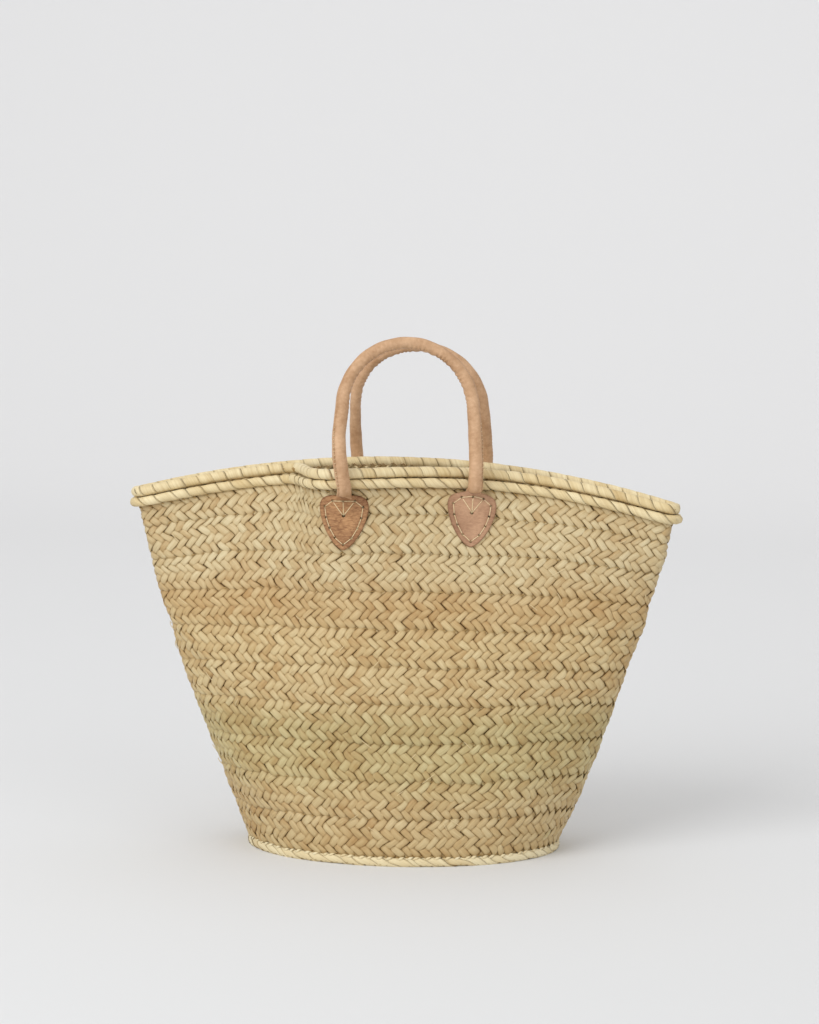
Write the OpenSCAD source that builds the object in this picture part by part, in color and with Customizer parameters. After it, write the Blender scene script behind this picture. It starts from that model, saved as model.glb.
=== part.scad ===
// Woven market basket: a plaited palm leaf band wound up from an oval bottom,
// a wrapped rim round a pinched mouth, and two rolled leather handles sewn on with patches.
// +X runs along the basket's length, -Y is its front, and the origin is under the
// middle of the bottom, on the surface that it stands on.

/* [Bottom] */
// Half length of the bottom, to the middle of the wall
bottom_half_l = 151; // [120:0.5:160]
// Half depth of the bottom, to the middle of the wall
bottom_half_d = 103.5; // [85:0.5:115]
// Thickness of the bottom and of the plaited band
band_t = 2.6; // [2:0.1:3.2]
// Height of the folded strip round the bottom edge
edge_h = 8; // [6:0.5:10]
// Thickness of the folded strip round the bottom edge
edge_t = 4; // [3:0.5:5]

/* [Wall] */
// Height of the middle of the top roll above the ground, at the middle of the basket
rim_z = 372; // [330:1:400]
// How much lower the rim is at its two ends
rim_drop = 33; // [10:1:35]
// How much higher the left end of the rim is than its middle line, and the right end lower
rim_tilt = 3.5; // [0:0.5:12]
// How much longer each half of the mouth is than the bottom
flare = 115; // [100:1:125]
// How far the flare turns back in at the rim
flare_turn = 6; // [2:1:20]
// Outward swell of the ends at half height
end_swell = 10.5; // [0:0.5:12]
// Number of turns of the plaited band
turns = 10; // [8:1:10]
// Clear width of the sewn join between two turns
join_gap = 1.6; // [1.4:0.1:2]
// Diameter of the sewing cord in a join
cord_d = 1.2; // [0.8:0.1:1.2]

/* [Mouth] */
// How far back the middle of the back rim lies
back_bow = 23.5; // [10:1:30]
// How far forward the middle of the front wall bows, before it is pushed in
front_bow = 34; // [20:1:45]
// Half the clear distance between the two rims where the mouth is closed
lips = 6.8; // [6.6:0.1:9]
// How far the open part of the mouth reaches forward beside the left handle
open_depth = 88; // [50:1:90]
// How far the mouth stays open towards its right end
open_tail = 10; // [5:1:15]
// Place of the fold beside the left handle, as a part of the half length
fold_at = -0.33; // [-0.45:0.01:-0.3]
// Softness of that fold, as a part of the half length
fold_soft = 0.03; // [0.025:0.001:0.05]

/* [Rim] */
// Radius of the wrapped top roll
roll_r = 5.2; // [4.5:0.1:5.5]
// Radius of the wrapped outer bead
bead_r = 4.6; // [4:0.1:5]
// Distance of the roll's middle outside the middle of the wall
roll_out = 4; // [3:0.1:4.5]
// Thickness of the leaf wrapping
wrap_t = 1.2; // [1:0.1:1.5]

/* [Handles] */
// Height of the handle's arch above its hinge line
handle_h = 140.5; // [125:0.5:160]
// Radius of the rolled leather
leather_r = 6.6; // [6:0.1:7.5]
// Thickness of the leather
leather_t = 1.4; // [1.2:0.1:1.8]
// Upright length of each leg, past the rim
leg_up = 20; // [16:1:26]
// Radius of the bend above the rim
bend_r = 34; // [25:1:50]
// Inward lean of the front handle
front_lean = 11; // [10:1:22]
// Inward lean of the back handle
back_lean = 16.5; // [6:0.5:20]
// Height of the front handle's hinge line up the wall, as a part of the whole
front_hinge_v = 0.9625; // [0.95:0.0005:0.965]
// Height of the back handle's hinge line up the wall, as a part of the whole
back_hinge_v = 0.9475; // [0.93:0.0005:0.965]
// Turn round the wall of the front handle's two legs, left and right
front_turns = [256, 291]; // [240:0.5:300]
// Turn round the wall of the back handle's two legs, right and left
back_turns = [68.5, 105.5]; // [60:0.5:120]

/* [Patches] */
// Width of a leather patch
patch_w = 47; // [40:1:50]
// Height of a leather patch
patch_h = 53; // [44:1:56]
// Thickness of a leather patch
patch_t = 2.2; // [1.8:0.1:2.6]
// Radius of the sewing holes round a patch
hole_r = 0.9; // [0.7:0.1:1.2]
// Thickness of the patch thread
thread_t = 0.9; // [0.6:0.1:1.1]

/* [Hidden] */
wall_z = edge_h + 1;            // where the plaited wall starts above the ground
rings = 64;                     // points round each ring of the wall
tip_crowd = 22;                 // how much those points crowd at the two ends, in degrees
fold_turn = 243;                // turn round the wall of the fold beside the left handle
fold_reach = 25;                // how far round the wall the points crowd there, in degrees
fold_crowd = 0.6;               // how much they crowd there
tip_sharp = 0.97;               // how sharply the mouth turns at its ends
tip_width = 0.08;               // how soon the rims reach their full distance from the ends
lean_power = 1.4;               // how late up the wall the mouth's shape takes over
push_power = 2.5;               // how late up the wall the pushed in shape takes over
open_middle = 0.08;             // where along the mouth its open part tails off
open_fade = 0.17;               // how gradually it does so
snug = 0.1;                     // gap between pieces that lie against each other
lean_room = 0.9;                // gap between the level bead and the sloping wall
bead_out = band_t / 2 + lean_room + bead_r;
bead_drop = roll_r + bead_r + 2 * snug;
seat_z = roll_r + 0.2;          // how far the wall stops below the middle of the roll
lacing_r = 0.8;                 // radius of the lacing inside the rim
lacing_drop = 2.5;              // how far below the roll the lacing lies
clear = 0.3;                    // gap between pieces that move apart
roll_sides = 8;                 // flats round the roll and the bead
cord_sides = 4;                 // flats round a sewing cord
leather_sides = 12;             // flats round a handle
bend_steps = 4;                 // steps round the bend of a leg
arch_steps = 11;                // steps round each half of the arch
dome_angles = [70, 45, 22];     // rings of the round end of a leg
seam_r = 0.5;                   // radius of the seam thread down a leg
patch_brow = 14;                // how far below a patch's top its widest line is
brow_power = 0.66;              // squareness of a patch's top
point_power = 1.3;              // sharpness of its point
patch_drop = 6.6;               // how far below the hinge line a patch starts
hole_inset = 5.2;               // how far the sewing holes lie in from the edge
hole_count = 12;                // sewing holes round a patch
centre_hole = [0, -20];         // the larger hole, below the top of the patch
tongue_t = 1.6;                 // thickness of the flat end of a leg
tongue_w = 20;                  // width of the flat end of a leg
tongue_h = 22;                  // how far it reaches down the wall
neck_w = 9;                     // width of the neck between a leg's foot and its flat end
neck_low = -6.4;                // height range of that neck against the hinge line
neck_high = -3.8;
neck_bite = 3;                  // how far the neck reaches round the foot
foot_room = leather_r + 2 * clear;  // radius of the hollow that the neck leaves for the foot
foot_gap = 1;                   // gap between the rim and a leg
foot_out = bead_out + bead_r + foot_gap + leather_r;
straw = "#d9c894";
straw_dark = "#b9a266";
straw_light = "#e6dab0";
leather = "#d3a47d";
leather_dark = "#b98a68";
cream = "#eadfc4";

// The shape of the wall. u is a turn round it in degrees, from the right end over the back,
// and v is the way up it, from 0 at the bottom to 1 at the middle of the top roll.

// Turns of the points of a ring, which crowd where the mouth bends sharply: at the two ends
// and at the fold beside the left handle.
function end_crowded(i) = 360 * i / rings - tip_crowd * sin(720 * i / rings);
function turn_at(i) =
    let (u = end_crowded(i), x = (u - fold_turn) / fold_reach)
    u - fold_crowd * (u - fold_turn) * exp(-x * x);

// Place along the mouth, from 1 at its right end to -1 at its left end.
function along(u) = asin(tip_sharp * cos(u)) / asin(tip_sharp);

// Side of the mouth: 1 on the back rim, -1 on the front rim, changing quickly at the ends.
function side(u) = atan(sin(u) / tip_width) / atan(1 / tip_width);

function half_length(v) =
    bottom_half_l + flare * v - flare_turn * pow(v, 12) + end_swell * sin(180 * v);

// How far the front rim stands forward of the closed mouth.
function opening(c) =
    (open_depth / (1 + exp((c - open_middle) / open_fade)) + open_tail * (1 - c * c))
    / (1 + exp((fold_at - c) / fold_soft));

function mouth_front(c, push) =
    -front_bow * (1 - c * c) + push * ((back_bow + front_bow) * (1 - c * c) - opening(c));

function mouth_y(u, push) =
    lips * side(u) + (sin(u) >= 0 ? back_bow * (1 - pow(along(u), 2)) : mouth_front(along(u), push));

function wall_x(u, v) =
    half_length(v) * ((1 - v) * cos(u) + v * along(u));

function wall_y(u, v) =
    (1 - pow(v, lean_power)) * bottom_half_d * sin(u)
    + pow(v, lean_power) * mouth_y(u, pow(v, push_power));

function wall_height(u, v) =
    wall_z + v * (rim_z - wall_z - rim_drop * v * pow(along(u), 2) - rim_tilt * v * along(u));

function wall(u, v) = [wall_x(u, v), wall_y(u, v), wall_height(u, v)];

function unit(p) = p / norm(p);

// Outward direction in plan.
function outward(u, v) =
    let (ahead = wall(u + 0.3, v), behind = wall(u - 0.3, v), run = ahead - behind)
    unit([run[1], -run[0], 0]);

// Rise of the wall for each unit of v near the rim.
function steepness(u) = rim_z - wall_z - 2 * (rim_drop * pow(along(u), 2) + rim_tilt * along(u));

// A ring of points along the wall at height v or a drop below it, moved out from the wall and up.
function ring(v, out, up = 0, drop = 0) =
    [for (i = [0 : rings - 1])
        let (u = turn_at(i), w = v - drop / steepness(u))
        wall(u, w) + out * outward(u, w) + [0, 0, up]];

function reverse(list) = [for (i = [len(list) - 1 : -1 : 0]) list[i]];

// A closed solid through a loop of rings, each a closed loop of the same number of points.
module loop_of_rings(rows) {
    m = len(rows);
    n = len(rows[0]);
    polyhedron(
        points = [for (row = rows) each row],
        faces = [
            for (j = [0 : m - 1], i = [0 : n - 1])
                let (
                    a = j * n + i,
                    b = j * n + (i + 1) % n,
                    c = (j + 1) % m * n + (i + 1) % n,
                    d = (j + 1) % m * n + i
                )
                each [[a, c, b], [a, d, c]]
        ]
    );
}

// One turn of the plaited band, as a closed ring between two heights of the wall, the upper
// of which may be a drop below its line.
module band_ring(low, high, drop = 0) {
    half = band_t / 2;
    loop_of_rings([
        ring(low, half), ring(high, half, 0, drop), ring(high, -half, 0, drop), ring(low, -half)
    ]);
}

// A round rod that follows the wall at height v or a drop below it, a distance out from it.
module swept_ring(v, out, drop, r, sides) {
    loop_of_rings([
        for (j = [0 : sides - 1])
            let (a = 360 * j / sides)
            ring(v, out + r * cos(a), r * sin(a), drop)
    ]);
}

// A hollow tube round such a rod, opened inside by a smaller one.
module swept_tube(v, out, drop, r, wall_t) {
    difference() {
        swept_ring(v, out, drop, r, roll_sides);
        swept_ring(v, out, drop, r - wall_t, roll_sides);
    }
}

// Height on the wall of each join between two turns of the band.
band_top = 1 - seat_z / (rim_z - wall_z);
function join_v(k) = band_top * k / turns;
half_gap = join_gap / 2 / (rim_z - wall_z);

function oval(inset) =
    [for (i = [0 : rings - 1])
        let (u = 360 * i / rings)
        [(bottom_half_l - inset) * cos(u), (bottom_half_d - inset) * sin(u)]];

turn_w = (bottom_half_d - edge_t) / 3;

module oval_slab(outer, inner, low, high) {
    translate([0, 0, low])
        linear_extrude(high - low)
            difference() {
                polygon(oval(outer));
                if (inner > 0)
                    polygon(oval(inner));
            }
}

// Bottom: the band starts doubled in the middle and winds out flat.
module base_turn(k) {
    outer = edge_t / 2 + snug + (3 - k) * turn_w;
    color(straw)
        oval_slab(outer, k > 1 ? outer + turn_w - join_gap : 0, 0, band_t);
}

module base_seam(k) {
    middle = edge_t / 2 + snug + (3 - k) * turn_w - join_gap / 2;
    color(straw_dark)
        oval_slab(middle - cord_d / 2, middle + cord_d / 2, (band_t - cord_d) / 2, (band_t + cord_d) / 2);
}

// Folded strip round the bottom edge, which holds the bottom to the wall.
module base_edge() {
    color(straw_light)
        oval_slab(-edge_t / 2, edge_t / 2, 0, edge_h);
}

module side_band(k) {
    color(k % 2 == 0 ? straw : straw_light)
        if (k < turns)
            band_ring(join_v(k - 1) + half_gap, join_v(k) - half_gap);
        else
            band_ring(join_v(k - 1) + half_gap, 1, seat_z);
}

module seam_cord(k) {
    color(straw_dark)
        swept_ring(join_v(k - 1), 0, 0, cord_d / 2, cord_sides);
}

module rim_roll_core() {
    color(straw_dark)
        swept_ring(1, roll_out, 0, roll_r - wrap_t - snug, roll_sides);
}

module rim_roll_wrap() {
    color(straw_light)
        swept_tube(1, roll_out, 0, roll_r, wrap_t);
}

module rim_bead_core() {
    color(straw_dark)
        swept_ring(1, bead_out, bead_drop, bead_r - wrap_t - snug, roll_sides);
}

module rim_bead_wrap() {
    color(straw_light)
        swept_tube(1, bead_out, bead_drop, bead_r, wrap_t);
}

// Lacing loops, as one flat cord inside the wall just under the roll.
module rim_lacing() {
    color(straw)
        swept_ring(1, -band_t / 2 - clear - lacing_r, roll_r + lacing_drop, lacing_r, cord_sides);
}

// Handles. A handle stands on its hinge line, with its legs at x = +-span / 2,
// and y runs inwards, over the mouth. Its legs go up past the rim and then lean in.

// Stations along one half of a handle, from its right foot up to the top of its arch. Each
// is [middle, direction of the arch's outer side, direction inwards].
function half_stations(span, lean) =
    let (
        arch_r = span / 2,
        straight = handle_h - arch_r - leg_up - bend_r * lean * PI / 180,
        up = [0, sin(lean), cos(lean)],
        inward = [0, cos(lean), -sin(lean)],
        bend_end = [arch_r, bend_r * (1 - cos(lean)), leg_up + bend_r * sin(lean)],
        middle = bend_end + straight * up - [arch_r, 0, 0]
    )
    concat(
        [[[arch_r, 0, 0], [1, 0, 0], [0, 1, 0]]],
        [for (k = [0 : bend_steps])
            let (a = lean * k / bend_steps)
            [
                [arch_r, bend_r * (1 - cos(a)), leg_up + bend_r * sin(a)],
                [1, 0, 0],
                [0, cos(a), -sin(a)]
            ]],
        [for (k = [0 : arch_steps])
            let (a = 90 * k / arch_steps, outer = [cos(a), 0, 0] + sin(a) * up)
            [middle + arch_r * outer, outer, inward]]
    );

function mirrored(station) = [for (v = station) [station[2] == v ? v[0] : -v[0], v[1], v[2]]];

function stations(span, lean) =
    let (half = half_stations(span, lean), n = len(half))
    concat(half, [for (k = [n - 2 : -1 : 0]) mirrored(half[k])]);

function station_ring(s, r) =
    [for (k = [0 : leather_sides - 1])
        let (a = 360 * k / leather_sides)
        s[0] + r * (cos(a) * s[1] + sin(a) * s[2])];

// Round end of a leg below its first station, down to a small hole.
function dome(s, r) =
    [for (a = dome_angles) station_ring([s[0] - [0, 0, r * sin(a)], s[1], s[2]], r * cos(a))];

function tube_rings(span, lean, r) =
    let (line = stations(span, lean), last = line[len(line) - 1])
    concat(
        dome(line[0], r),
        [for (s = line) station_ring(s, r)],
        reverse(dome(last, r))
    );

module hollow_handle(span, lean) {
    loop_of_rings(concat(
        reverse(tube_rings(span, lean, leather_r)),
        tube_rings(span, lean, leather_r - leather_t)
    ));
}

module solid_handle(span, lean) {
    rows = tube_rings(span, lean, leather_r - leather_t - snug);
    n = leather_sides;
    m = len(rows);
    polyhedron(
        points = [for (row = rows) each row],
        faces = concat(
            [for (j = [0 : m - 2], i = [0 : n - 1])
                let (a = j * n + i, b = j * n + (i + 1) % n)
                each [[a, b, b + n], [a, b + n, a + n]]],
            [[for (i = [n - 1 : -1 : 0]) i]],
            [[for (i = [0 : n - 1]) (m - 1) * n + i]]
        )
    );
}

// Seam thread: a fine raised line down the outer side of each leg.
module seam_line(span) {
    for (x = [-1, 1])
        translate([x * (span / 2 + leather_r + seam_r + snug / 2), 0, 1])
            cylinder(r = seam_r, h = leg_up - 2, $fn = 16);
}

// Puts a piece on the hinge line between two legs, with y inwards.
module on_hinge_line(feet) {
    line = feet[1] - feet[0];
    translate((feet[0] + feet[1]) / 2)
        rotate([0, 0, atan2(line[1], line[0])])
            children();
}

module handle_cover(feet, lean) {
    color(leather)
        on_hinge_line(feet)
            hollow_handle(norm(feet[1] - feet[0]), lean);
}

module handle_core(feet, lean) {
    color(cream)
        on_hinge_line(feet)
            solid_handle(norm(feet[1] - feet[0]), lean);
}

module handle_seam(feet) {
    color(leather_dark)
        on_hinge_line(feet)
            seam_line(norm(feet[1] - feet[0]));
}

// Patches. In a patch's own frame x runs across it, y up the wall and z outwards,
// and its origin is on the middle of the wall, behind a leg's foot.

function patch_out(u, v) =
    let (over = wall(u + 1, v - 0.06) - wall(u - 1, v - 0.06), rise = wall(u, v) - wall(u, v - 0.12))
    unit(cross(over, rise));
function patch_up(u, v) =
    let (n = patch_out(u, v), rise = wall(u, v) - wall(u, v - 0.12))
    unit(rise - (rise * n) * n);

module on_wall(u, v) {
    o = wall(u, v);
    n = patch_out(u, v);
    up = patch_up(u, v);
    across = cross(up, n);
    multmatrix([
        [across[0], up[0], n[0], o[0]],
        [across[1], up[1], n[1], o[1]],
        [across[2], up[2], n[2], o[2]],
        [0, 0, 0, 1]
    ])
        children();
}

// How far the wall's surface rises above the plane of a flat patch.
function wall_rise(u, v) =
    let (o = wall(u, v), n = patch_out(u, v))
    max([for (du = [-8 : 1 : 8], dv = [0 : 0.01 : 0.14]) (wall(u + du, v - dv) - o) * n]);

function tongue_z(u, v) = wall_rise(u, v) + band_t / 2 + clear;
function patch_z(u, v) = tongue_z(u, v) + tongue_t + clear;

// Shield outline, a rounded flat top over a rounded point.
function power(x, e) = sign(x) * pow(abs(x), e);
function shield(inset, n = 72) =
    [for (i = [0 : n - 1])
        let (
            a = 360 * i / n,
            top = sin(a) >= 0,
            e = top ? brow_power : point_power,
            h = top ? patch_brow : patch_h - patch_brow
        )
        [(patch_w / 2 - inset) * power(cos(a), e), (h - inset) * power(sin(a), e) - patch_brow]];

// Sewing holes at even steps along the outline, starting at the middle of the top.
function running_length(list, i = 0, sum = 0) =
    i == len(list)
        ? [sum]
        : concat([sum], running_length(list, i + 1, sum + norm(list[(i + 1) % len(list)] - list[i])));
function hole_points() =
    let (
        line = shield(hole_inset),
        lengths = running_length(line),
        whole = lengths[len(line)],
        start = lengths[len(line) / 4],
        xs = [for (i = [0 : len(line)]) [lengths[i], line[i % len(line)][0]]],
        ys = [for (i = [0 : len(line)]) [lengths[i], line[i % len(line)][1]]]
    )
    [for (k = [0 : hole_count - 1])
        let (place = start + whole * k / hole_count, at = place > whole ? place - whole : place)
        [lookup(at, xs), lookup(at, ys)]];

module patch(u, v) {
    holes = hole_points();
    color(leather_dark)
        on_wall(u, v)
            translate([0, -patch_drop, patch_z(u, v)])
                difference() {
                    linear_extrude(patch_t)
                        polygon(shield(0));
                    for (p = holes)
                        translate([p[0], p[1], -1])
                            cylinder(r = hole_r, h = patch_t + 2, $fn = 24);
                    translate([centre_hole[0], centre_hole[1], -1])
                        cylinder(r = hole_r * 1.4, h = patch_t + 2, $fn = 24);
                }
}

// A straight stitch that lies on the patch between two holes.
module stitch(a, b) {
    run = b - a;
    reach = norm(run) - 2 * hole_r;
    translate([a[0], a[1], 0])
        rotate([0, 0, atan2(run[1], run[0])])
            translate([hole_r, 0, 0])
                rotate([0, 90, 0])
                    cylinder(d = thread_t, h = reach, $fn = 16);
}

module patch_thread(u, v) {
    holes = hole_points();
    color(cream)
        on_wall(u, v)
            translate([0, -patch_drop, patch_z(u, v) + patch_t + thread_t / 2 + snug / 2]) {
                for (k = [0 : hole_count - 1])
                    stitch(holes[k], holes[(k + 1) % hole_count]);
                for (k = [0, 1, hole_count - 1])
                    stitch(holes[k] + [0, -2], centre_hole);
            }
}

// Tongue: the flat leather end of a leg. It lies on the wall under the patch and its neck
// stands out under the rim, with a round hollow for the leg's foot.
module tongue(u, v, foot) {
    low = tongue_z(u, v);
    color(leather)
        difference() {
            on_wall(u, v)
                translate([0, 0, low]) {
                    translate([-tongue_w / 2, neck_high - tongue_h, 0])
                        cube([tongue_w, tongue_h, tongue_t]);
                    translate([-neck_w / 2, neck_low, 0])
                        cube([neck_w, neck_high - neck_low, foot_out - leather_r + neck_bite - low]);
                }
            translate(foot) {
                sphere(r = foot_room, $fn = 48);
                cylinder(r = foot_room, h = leg_up, $fn = 48);
            }
        }
}

// Feet of a handle's two legs, at one height.
function foot_point(u, v) = wall(u, v) + foot_out * outward(u, v);
function level_feet(turns, v) =
    let (feet = [for (u = turns) foot_point(u, v)], z = (feet[0][2] + feet[1][2]) / 2)
    [for (foot = feet) [foot[0], foot[1], z]];
front_feet = level_feet(front_turns, front_hinge_v);
back_feet = level_feet(back_turns, back_hinge_v);

base_turn(1);  // base_turn_1
base_turn(2);  // base_turn_2
base_turn(3);  // base_turn_3
base_seam(1);  // base_seam_1
base_seam(2);  // base_seam_2
base_edge();
side_band(1);  // side_band_01
side_band(2);  // side_band_02
side_band(3);  // side_band_03
side_band(4);  // side_band_04
side_band(5);  // side_band_05
side_band(6);  // side_band_06
side_band(7);  // side_band_07
side_band(8);  // side_band_08
side_band(9);  // side_band_09
side_band(10);  // side_band_10
seam_cord(1);  // seam_cord_01
seam_cord(2);  // seam_cord_02
seam_cord(3);  // seam_cord_03
seam_cord(4);  // seam_cord_04
seam_cord(5);  // seam_cord_05
seam_cord(6);  // seam_cord_06
seam_cord(7);  // seam_cord_07
seam_cord(8);  // seam_cord_08
seam_cord(9);  // seam_cord_09
seam_cord(10);  // seam_cord_10
rim_roll_core();
rim_roll_wrap();
rim_bead_core();
rim_bead_wrap();
rim_lacing();
handle_cover(front_feet, front_lean);  // handle_front_cover
handle_core(front_feet, front_lean);  // handle_front_core
handle_seam(front_feet);  // handle_front_seam
handle_cover(back_feet, back_lean);  // handle_back_cover
handle_core(back_feet, back_lean);  // handle_back_core
handle_seam(back_feet);  // handle_back_seam
tongue(front_turns[0], front_hinge_v, front_feet[0]);  // tongue_front_left
tongue(front_turns[1], front_hinge_v, front_feet[1]);  // tongue_front_right
tongue(back_turns[1], back_hinge_v, back_feet[1]);  // tongue_back_left
tongue(back_turns[0], back_hinge_v, back_feet[0]);  // tongue_back_right
patch(front_turns[0], front_hinge_v);  // patch_front_left
patch(front_turns[1], front_hinge_v);  // patch_front_right
patch(back_turns[1], back_hinge_v);  // patch_back_left
patch(back_turns[0], back_hinge_v);  // patch_back_right
patch_thread(front_turns[0], front_hinge_v);  // thread_front_left
patch_thread(front_turns[1], front_hinge_v);  // thread_front_right
patch_thread(back_turns[1], back_hinge_v);  // thread_back_left
patch_thread(back_turns[0], back_hinge_v);  // thread_back_right
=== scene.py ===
import math

import bmesh
import bpy
import numpy as np
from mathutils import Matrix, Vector


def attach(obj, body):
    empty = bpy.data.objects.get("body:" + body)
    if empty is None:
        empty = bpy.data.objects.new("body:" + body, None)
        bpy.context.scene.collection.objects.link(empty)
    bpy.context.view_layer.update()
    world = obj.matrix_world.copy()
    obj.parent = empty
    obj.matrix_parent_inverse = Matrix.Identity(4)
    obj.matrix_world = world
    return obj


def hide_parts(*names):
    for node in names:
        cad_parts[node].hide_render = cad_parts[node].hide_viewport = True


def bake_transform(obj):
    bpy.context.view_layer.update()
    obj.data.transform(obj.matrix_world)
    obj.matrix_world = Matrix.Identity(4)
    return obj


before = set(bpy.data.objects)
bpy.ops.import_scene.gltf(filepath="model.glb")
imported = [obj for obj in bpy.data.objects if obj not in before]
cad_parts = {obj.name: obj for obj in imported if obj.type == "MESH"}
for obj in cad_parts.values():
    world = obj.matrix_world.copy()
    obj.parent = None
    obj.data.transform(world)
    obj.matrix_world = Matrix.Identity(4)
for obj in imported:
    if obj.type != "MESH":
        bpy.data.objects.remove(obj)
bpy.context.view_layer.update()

# Camera, pale floor and soft studio light. The camera stands a little to the right of the
# basket's front and above it, with a long lens. Colours are shown as lit, with no film curve.
looks_at = Vector((0, 0, 0.190))
turned = math.radians(8.75)
raised = math.radians(9.58)
away = Vector((math.sin(turned) * math.cos(raised), -math.cos(turned) * math.cos(raised),
               math.sin(raised)))
camera = bpy.data.objects.new("camera", bpy.data.cameras.new("camera"))
bpy.context.scene.collection.objects.link(camera)
bpy.context.scene.camera = camera
camera.data.sensor_fit = "VERTICAL"
camera.data.sensor_height = 36
camera.data.lens = 129.9
camera.data.clip_end = 60
camera.location = looks_at + 3.6 * away
camera_right = Vector((math.cos(turned), math.sin(turned), 0))
camera_up = away.cross(camera_right)
aim = looks_at + 0.0061 * camera_right + 0.1361 * camera_up
camera.rotation_euler = (aim - camera.location).to_track_quat("-Z", "Y").to_euler()


def srgb(text, gain=1.0):
    """A hex sRGB colour as the linear colour that a shader takes."""
    parts = [int(text[i:i + 2], 16) / 255 for i in (1, 3, 5)]
    return (*(gain * (p / 12.92 if p <= 0.04045 else ((p + 0.055) / 1.055) ** 2.4) for p in parts), 1)


def add(tree, kind, values=(), **settings):
    """A new node with its settings made, and with its inputs linked or filled in."""
    node = tree.nodes.new(kind)
    for name, value in settings.items():
        setattr(node, name, value)
    for key, value in (values.items() if isinstance(values, dict) else enumerate(values)):
        if isinstance(value, bpy.types.NodeSocket):
            tree.links.new(value, node.inputs[key])
        elif value is not None:
            node.inputs[key].default_value = value
    return node


def calculator(tree):
    """A function that adds one math node to a tree and gives its result."""
    return lambda operation, *values: add(tree, "ShaderNodeMath", values, operation=operation).outputs[0]


def fill_ramp(ramp_node, stops, gain=1.0):
    """Colours of a ramp, from pairs of a place and a colour. The first two stops are the ends."""
    elements = ramp_node.color_ramp.elements
    for k, (at, text) in enumerate(stops):
        stop = elements[k] if k < 2 else elements.new(at)
        stop.position, stop.color = at, srgb(text, gain)


def new_material(name):
    """An empty Principled material, and its tree and shader."""
    material = bpy.data.materials.new(name)
    material.use_nodes = True
    return material, material.node_tree, material.node_tree.nodes["Principled BSDF"]


floor_paint, tree, shader = new_material("studio_paper")
place = add(tree, "ShaderNodeTexCoord").outputs["Object"]
# Painted shade: the paper's colour is darker towards the camera and lighter towards the back.
depth = add(tree, "ShaderNodeSeparateXYZ", (place,)).outputs[1]
depth = add(tree, "ShaderNodeMapRange", {0: depth, 1: -1.2, 2: 2.6}).outputs[0]
paper_painted_falloff = add(tree, "ShaderNodeValToRGB", (depth,))
fill_ramp(paper_painted_falloff, ((0.0, "#d6d7d8"), (1.0, "#ececed")))
tree.links.new(paper_painted_falloff.outputs[0], shader.inputs["Base Color"])
shader.inputs["Roughness"].default_value = 0.9
half_wide, flat_end, sweep_r, paper_top = 9, 2.2, 1.6, 7.0
profile = [(-9.0, 0.0), (flat_end, 0.0)]
profile += [(flat_end + sweep_r * math.sin(a), sweep_r - sweep_r * math.cos(a))
            for a in np.radians(range(6, 91, 6))]
profile += [(3.8, paper_top)]
paper_mesh = bpy.data.meshes.new("studio_paper")
paper_mesh.from_pydata(
    [(x, y, z) for y, z in profile for x in (-half_wide, half_wide)], [],
    [(2 * k, 2 * k + 1, 2 * k + 3, 2 * k + 2) for k in range(len(profile) - 1)])
paper_mesh.polygons.foreach_set("use_smooth", [True] * len(paper_mesh.polygons))
paper_mesh.materials.append(floor_paint)
paper = bpy.data.objects.new("studio_paper", paper_mesh)
bpy.context.scene.collection.objects.link(paper)

for name, place, size, power in (
        ("key_light", (-1.9, -3.0, 2.7), 3.0, 104),
        ("fill_light", (2.8, -3.2, 1.6), 3.4, 34),
        ("top_light", (0.2, 0.8, 3.4), 3.4, 20)):
    light = bpy.data.objects.new(name, bpy.data.lights.new(name, "AREA"))
    light.data.size = size
    light.data.energy = power
    light.location = place
    light.rotation_euler = (Vector((0, 0, 0.2)) - light.location).to_track_quat("-Z", "Y").to_euler()
    bpy.context.scene.collection.objects.link(light)
world = bpy.data.worlds.new("studio")
bpy.context.scene.world = world
world.use_nodes = True
world.node_tree.nodes["Background"].inputs["Color"].default_value = (1, 0.998, 0.99, 1)
world.node_tree.nodes["Background"].inputs["Strength"].default_value = 0.62
bpy.context.scene.view_settings.view_transform = "Standard"

# Bottom. A plaited palm leaf band starts doubled in the middle and winds out flat in three
# turns. Its strips are folded leaf, about 6.6 mm wide, that pass over two and under two.
bottom_half_l, bottom_half_d, edge_t, edge_h, band_t, turn_gap = 151.0, 103.5, 4.0, 8.0, 2.6, 1.6
turn_w = (bottom_half_d - edge_t) / 3
strip_pitch = 9.45                  # distance between neighbouring strips of one direction, in mm
dice = np.random.default_rng(41)


def unit(p):
    return p / np.linalg.norm(p, axis=-1, keepdims=True)


def run_length(line):
    """Length along a line from its start to each of its points."""
    return np.concatenate([[0], np.cumsum(np.linalg.norm(np.diff(line, axis=0), axis=1))])


def guide(name, points, out, s, rows):
    """A hidden surface for strips: a grid of points in mm, their normals, and flat places s by rows."""
    lay = np.stack(np.broadcast_arrays(s[None, :], rows[:, None]), -1)
    mesh = bpy.data.meshes.new(name)
    at = np.arange(len(rows) * len(s)).reshape(len(rows), len(s))
    quads = np.stack([at[:-1, :-1], at[:-1, 1:], at[1:, 1:], at[1:, :-1]], -1).reshape(-1, 4)
    mesh.from_pydata((points.reshape(-1, 3) * 0.001).tolist(), [], quads.tolist())
    for label, values in (("out", out), ("lay", np.concatenate([lay, 0 * lay[..., :1]], -1))):
        attribute = mesh.attributes.new(label, "FLOAT_VECTOR", "POINT")
        attribute.data.foreach_set("vector", values.reshape(-1).astype(np.float32))
    made = bpy.data.objects.new(name, mesh)
    bpy.context.scene.collection.objects.link(made)
    made.hide_render = True
    return made


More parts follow.
